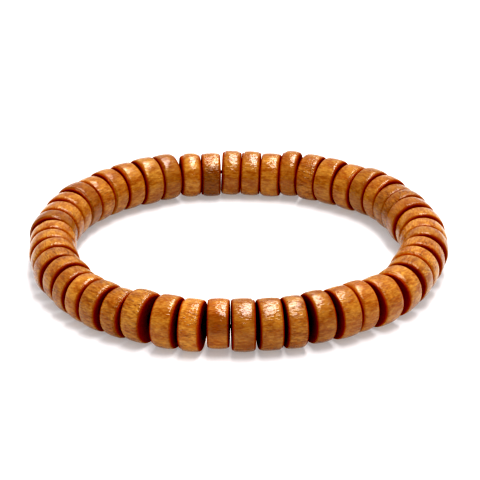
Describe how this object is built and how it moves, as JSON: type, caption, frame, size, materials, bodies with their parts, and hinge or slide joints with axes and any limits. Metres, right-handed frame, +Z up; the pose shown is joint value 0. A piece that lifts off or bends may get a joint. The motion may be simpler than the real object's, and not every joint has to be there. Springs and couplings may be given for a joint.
{
  "type": "beaded stretch bracelet",
  "caption": "Stretch bracelet of turned, stained and varnished wooden disc beads on an elastic cord, lying flat as a closed ring.",
  "frame": {"origin": "middle of the bracelet's footprint on the table it lies on", "axes": "+Z up along the ring's axis, which the wrist goes along; the front of the ring in the picture points to -Y"},
  "size_m": [0.0712, 0.0716, 0.0086],
  "materials": {
    "varnished_wood": "amber stain under gloss varnish",
    "elastic": "smooth round elastic"
  },
  "bodies": {
    "root": {"bead_01": "varnished_wood", "bead_02": "varnished_wood", "bead_03": "varnished_wood", "bead_04": "varnished_wood", "bead_05": "varnished_wood", "bead_06": "varnished_wood", "bead_07": "varnished_wood", "bead_08": "varnished_wood", "bead_09": "varnished_wood", "bead_10": "varnished_wood", "bead_11": "varnished_wood", "bead_12": "varnished_wood", "bead_13": "varnished_wood", "bead_14": "varnished_wood", "bead_15": "varnished_wood", "bead_16": "varnished_wood", "bead_17": "varnished_wood", "bead_18": "varnished_wood", "bead_19": "varnished_wood", "bead_20": "varnished_wood", "bead_21": "varnished_wood", "bead_22": "varnished_wood", "bead_23": "varnished_wood", "bead_24": "varnished_wood", "bead_25": "varnished_wood", "bead_26": "varnished_wood", "bead_27": "varnished_wood", "bead_28": "varnished_wood", "bead_29": "varnished_wood", "bead_30": "varnished_wood", "bead_31": "varnished_wood", "bead_32": "varnished_wood", "bead_33": "varnished_wood", "bead_34": "varnished_wood", "bead_35": "varnished_wood", "bead_36": "varnished_wood", "bead_37": "varnished_wood", "bead_38": "varnished_wood", "bead_39": "varnished_wood", "bead_40": "varnished_wood", "bead_41": "varnished_wood", "bead_42": "varnished_wood", "bead_43": "varnished_wood", "bead_44": "varnished_wood", "bead_45": "varnished_wood", "bead_46": "varnished_wood", "bead_47": "varnished_wood", "bead_48": "varnished_wood", "bead_49": "varnished_wood", "bead_50": "varnished_wood", "elastic_cord": "elastic"}
  },
  "joints": []
}
